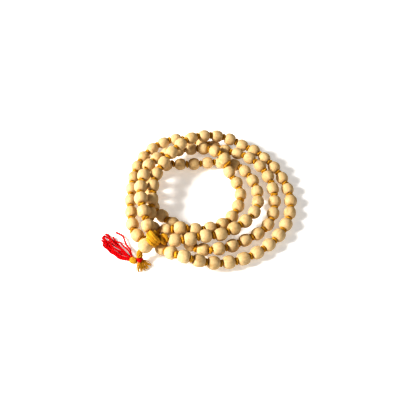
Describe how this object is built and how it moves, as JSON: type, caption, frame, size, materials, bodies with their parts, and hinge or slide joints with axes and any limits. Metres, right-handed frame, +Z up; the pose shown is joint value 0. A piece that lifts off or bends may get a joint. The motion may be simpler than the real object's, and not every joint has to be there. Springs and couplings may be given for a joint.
{
  "type": "mala prayer beads",
  "caption": "Prayer strand of small round wood beads knotted on yellow cotton cord, with a guru bead and a short red tassel, lying coiled in a pile.",
  "frame": {"origin": "middle of the pile's base, on the surface that it lies on", "axes": "+Z up from that surface, +X along the pile's longer side, away from the tassel"},
  "size_m": [0.1292, 0.112, 0.0218],
  "materials": {
    "bead_wood": "turned pale wood, waxed by handling, satin",
    "cord_cotton": "golden yellow twisted cotton, matt",
    "tassel_red": "bright red twisted cotton yarn, matt"
  },
  "bodies": {
    "pile": {"strand_section_01": "bead_wood", "strand_section_02": "bead_wood", "strand_section_03": "bead_wood", "strand_section_04": "bead_wood", "strand_section_05": "bead_wood", "strand_section_06": "bead_wood", "strand_section_07": "bead_wood", "strand_section_08": "bead_wood", "strand_section_09": "bead_wood", "strand_section_10": "bead_wood", "strand_section_11": "bead_wood", "strand_section_12": "bead_wood", "outer_turn_cord": "cord_cotton"},
    "guru_stretch": {"guru_cord_left": "cord_cotton", "guru_cord_right": "cord_cotton", "guru_binding": "cord_cotton", "tassel_neck": "cord_cotton"},
    "tassel_tie": {"red_tie": "tassel_red", "cord_tail_left": "cord_cotton", "cord_tail_right": "cord_cotton"},
    "tassel": {"tassel_binding": "cord_cotton", "tassel_threads": "tassel_red"},
    "guru_bead": {"guru_bead": "bead_wood"},
    "bead_001": {"bead_001": "bead_wood"},
    "bead_002": {"bead_002": "bead_wood"},
    "bead_003": {"bead_003": "bead_wood"},
    "bead_004": {"bead_004": "bead_wood"},
    "bead_005": {"bead_005": "bead_wood"},
    "bead_006": {"bead_006": "bead_wood"},
    "bead_056": {"bead_056": "bead_wood"},
    "bead_057": {"bead_057": "bead_wood"},
    "bead_058": {"bead_058": "bead_wood"},
    "bead_059": {"bead_059": "bead_wood"},
    "bead_060": {"bead_060": "bead_wood"},
    "bead_061": {"bead_061": "bead_wood"},
    "bead_062": {"bead_062": "bead_wood"},
    "bead_063": {"bead_063": "bead_wood"},
    "bead_064": {"bead_064": "bead_wood"},
    "bead_065": {"bead_065": "bead_wood"},
    "bead_066": {"bead_066": "bead_wood"},
    "bead_067": {"bead_067": "bead_wood"},
    "bead_068": {"bead_068": "bead_wood"},
    "bead_069": {"bead_069": "bead_wood"},
    "bead_070": {"bead_070": "bead_wood"},
    "bead_071": {"bead_071": "bead_wood"},
    "bead_072": {"bead_072": "bead_wood"},
    "bead_073": {"bead_073": "bead_wood"},
    "bead_074": {"bead_074": "bead_wood"},
    "bead_075": {"bead_075": "bead_wood"},
    "bead_076": {"bead_076": "bead_wood"},
    "bead_077": {"bead_077": "bead_wood"},
    "bead_078": {"bead_078": "bead_wood"},
    "bead_079": {"bead_079": "bead_wood"},
    "bead_080": {"bead_080": "bead_wood"},
    "bead_104": {"bead_104": "bead_wood"},
    "bead_105": {"bead_105": "bead_wood"},
    "bead_106": {"bead_106": "bead_wood"},
    "bead_107": {"bead_107": "bead_wood"},
    "bead_108": {"bead_108": "bead_wood"}
  },
  "joints": [
    {"name": "guru_stretch_lift", "type": "hinge", "parent": "pile", "child": "guru_stretch", "pos_m": [-0.04337, 0.01315, 0.01676], "axis": [-0.8981, 0.4304, 0.0901], "range_deg": [0, 35]},
    {"name": "guru_tassel_lift", "type": "hinge", "parent": "tassel_tie", "child": "tassel", "pos_m": [-0.0444, -0.04719, 0.00424], "axis": [0.5708, 0.8211, 0], "range_deg": [0, 50]},
    {"name": "guru_tassel_swing", "type": "hinge", "parent": "guru_stretch", "child": "tassel_tie", "pos_m": [-0.0444, -0.04719, 0.00424], "axis": [0, 0, 1], "range_deg": [-8, 40]},
    {"name": "spin_guru_bead", "type": "hinge", "parent": "guru_stretch", "child": "guru_bead", "pos_m": [-0.04065, -0.04122, 0.01031], "axis": [-0.7356, -0.5165, -0.4382], "continuous": true},
    {"name": "spin_bead_001", "type": "hinge", "parent": "guru_stretch", "child": "bead_001", "pos_m": [-0.02248, -0.03816, 0.01149], "axis": [0.9992, -0.0043, 0.0404], "continuous": true},
    {"name": "spin_bead_002", "type": "hinge", "parent": "guru_stretch", "child": "bead_002", "pos_m": [-0.01293, -0.03806, 0.01318], "axis": [0.9899, 0.1204, 0.0752], "continuous": true},
    {"name": "spin_bead_003", "type": "hinge", "parent": "guru_stretch", "child": "bead_003", "pos_m": [-0.00349, -0.03585, 0.01293], "axis": [0.9743, 0.2113, -0.0786], "continuous": true},
    {"name": "spin_bead_004", "type": "hinge", "parent": "guru_stretch", "child": "bead_004", "pos_m": [0.00594, -0.03397, 0.01166], "axis": [0.9342, 0.3446, -0.0926], "continuous": true},
    {"name": "spin_bead_005", "type": "hinge", "parent": "guru_stretch", "child": "bead_005", "pos_m": [0.0144, -0.02925, 0.01116], "axis": [0.8285, 0.5556, -0.0698], "continuous": true},
    {"name": "spin_bead_006", "type": "hinge", "parent": "guru_stretch", "child": "bead_006", "pos_m": [0.02196, -0.02323, 0.0103], "axis": [0.7128, 0.6945, -0.0984], "continuous": true},
    {"name": "spin_bead_104", "type": "hinge", "parent": "guru_stretch", "child": "bead_104", "pos_m": [-0.04438, 0.00838, 0.01698], "axis": [-0.2075, -0.9765, 0.0592], "continuous": true},
    {"name": "spin_bead_105", "type": "hinge", "parent": "guru_stretch", "child": "bead_105", "pos_m": [-0.04566, -0.00123, 0.0173], "axis": [-0.0201, -0.9992, 0.0358], "continuous": true},
    {"name": "spin_bead_106", "type": "hinge", "parent": "guru_stretch", "child": "bead_106", "pos_m": [-0.04477, -0.01089, 0.01767], "axis": [0.1686, -0.9857, -0.0086], "continuous": true},
    {"name": "spin_bead_107", "type": "hinge", "parent": "guru_stretch", "child": "bead_107", "pos_m": [-0.0424, -0.02028, 0.01713], "axis": [0.2765, -0.9437, -0.1817], "continuous": true},
    {"name": "spin_bead_108", "type": "hinge", "parent": "guru_stretch", "child": "bead_108", "pos_m": [-0.03945, -0.02903, 0.01417], "axis": [0.354, -0.9134, -0.2012], "continuous": true},
    {"name": "spin_bead_056", "type": "hinge", "parent": "pile", "child": "bead_056", "pos_m": [-0.02467, -0.04657, 0.01091], "axis": [0.7385, -0.5169, 0.4331], "continuous": true},
    {"name": "spin_bead_057", "type": "hinge", "parent": "pile", "child": "bead_057", "pos_m": [-0.01661, -0.05088, 0.01417], "axis": [0.9558, -0.2927, -0.0287], "continuous": true},
    {"name": "spin_bead_058", "type": "hinge", "parent": "pile", "child": "bead_058", "pos_m": [-0.00771, -0.05176, 0.0104], "axis": [0.9223, -0.019, -0.3859], "continuous": true},
    {"name": "spin_bead_059", "type": "hinge", "parent": "pile", "child": "bead_059", "pos_m": [0.00123, -0.05125, 0.0067], "axis": [0.9538, 0.0997, -0.2833], "continuous": true},
    {"name": "spin_bead_060", "type": "hinge", "parent": "pile", "child": "bead_060", "pos_m": [0.01067, -0.04984, 0.00494], "axis": [0.9676, 0.2167, -0.1295], "continuous": true},
    {"name": "spin_bead_061", "type": "hinge", "parent": "pile", "child": "bead_061", "pos_m": [0.01993, -0.04706, 0.0042], "axis": [0.9298, 0.3661, -0.0386], "continuous": true},
    {"name": "spin_bead_062", "type": "hinge", "parent": "pile", "child": "bead_062", "pos_m": [0.02863, -0.04277, 0.0042], "axis": [0.8587, 0.5124, 0], "continuous": true},
    {"name": "spin_bead_063", "type": "hinge", "parent": "pile", "child": "bead_063", "pos_m": [0.03654, -0.03715, 0.0042], "axis": [0.7578, 0.6525, 0], "continuous": true},
    {"name": "spin_bead_064", "type": "hinge", "parent": "pile", "child": "bead_064", "pos_m": [0.04327, -0.03017, 0.0042], "axis": [0.6243, 0.7812, 0], "continuous": true},
    {"name": "spin_bead_065", "type": "hinge", "parent": "pile", "child": "bead_065", "pos_m": [0.0486, -0.02206, 0.0042], "axis": [0.4626, 0.8866, 0], "continuous": true},
    {"name": "spin_bead_066", "type": "hinge", "parent": "pile", "child": "bead_066", "pos_m": [0.0522, -0.01305, 0.0042], "axis": [0.2641, 0.9645, 0], "continuous": true},
    {"name": "spin_bead_067", "type": "hinge", "parent": "pile", "child": "bead_067", "pos_m": [0.05369, -0.00347, 0.0042], "axis": [0.0246, 0.9997, 0.0082], "continuous": true},
    {"name": "spin_bead_068", "type": "hinge", "parent": "pile", "child": "bead_068", "pos_m": [0.05267, 0.00617, 0.00436], "axis": [-0.2099, 0.9768, 0.0432], "continuous": true},
    {"name": "spin_bead_069", "type": "hinge", "parent": "pile", "child": "bead_069", "pos_m": [0.04965, 0.01537, 0.00503], "axis": [-0.4188, 0.9011, 0.1122], "continuous": true},
    {"name": "spin_bead_070", "type": "hinge", "parent": "pile", "child": "bead_070", "pos_m": [0.04461, 0.02352, 0.00652], "axis": [-0.5857, 0.7962, 0.1518], "continuous": true},
    {"name": "spin_bead_071", "type": "hinge", "parent": "pile", "child": "bead_071", "pos_m": [0.03832, 0.03076, 0.00797], "axis": [-0.6848, 0.7248, 0.0755], "continuous": true},
    {"name": "spin_bead_072", "type": "hinge", "parent": "pile", "child": "bead_072", "pos_m": [0.03137, 0.03753, 0.00798], "axis": [-0.7839, 0.6209, 0.0014], "continuous": true},
    {"name": "spin_bead_073", "type": "hinge", "parent": "pile", "child": "bead_073", "pos_m": [0.02319, 0.04275, 0.008], "axis": [-0.883, 0.4515, 0.128], "continuous": true},
    {"name": "spin_bead_074", "type": "hinge", "parent": "pile", "child": "bead_074", "pos_m": [0.01445, 0.04618, 0.01043], "axis": [-0.9404, 0.2154, 0.2631], "continuous": true},
    {"name": "spin_bead_075", "type": "hinge", "parent": "pile", "child": "bead_075", "pos_m": [0.00514, 0.04688, 0.01305], "axis": [-0.9676, -0.046, 0.2481], "continuous": true},
    {"name": "spin_bead_076", "type": "hinge", "parent": "pile", "child": "bead_076", "pos_m": [-0.00418, 0.0453, 0.01521], "axis": [-0.9382, -0.2771, 0.2074], "continuous": true},
    {"name": "spin_bead_077", "type": "hinge", "parent": "pile", "child": "bead_077", "pos_m": [-0.01294, 0.04154, 0.01704], "axis": [-0.8462, -0.5181, 0.1247], "continuous": true},
    {"name": "spin_bead_078", "type": "hinge", "parent": "pile", "child": "bead_078", "pos_m": [-0.0204, 0.03537, 0.0176], "axis": [-0.6911, -0.7222, 0.0275], "continuous": true},
    {"name": "spin_bead_079", "type": "hinge", "parent": "pile", "child": "bead_079", "pos_m": [-0.02625, 0.02763, 0.01757], "axis": [-0.5702, -0.8203, -0.0445], "continuous": true},
    {"name": "spin_bead_080", "type": "hinge", "parent": "pile", "child": "bead_080", "pos_m": [-0.03144, 0.01948, 0.01673], "axis": [-0.5042, -0.8547, -0.1236], "continuous": true}
  ]
}
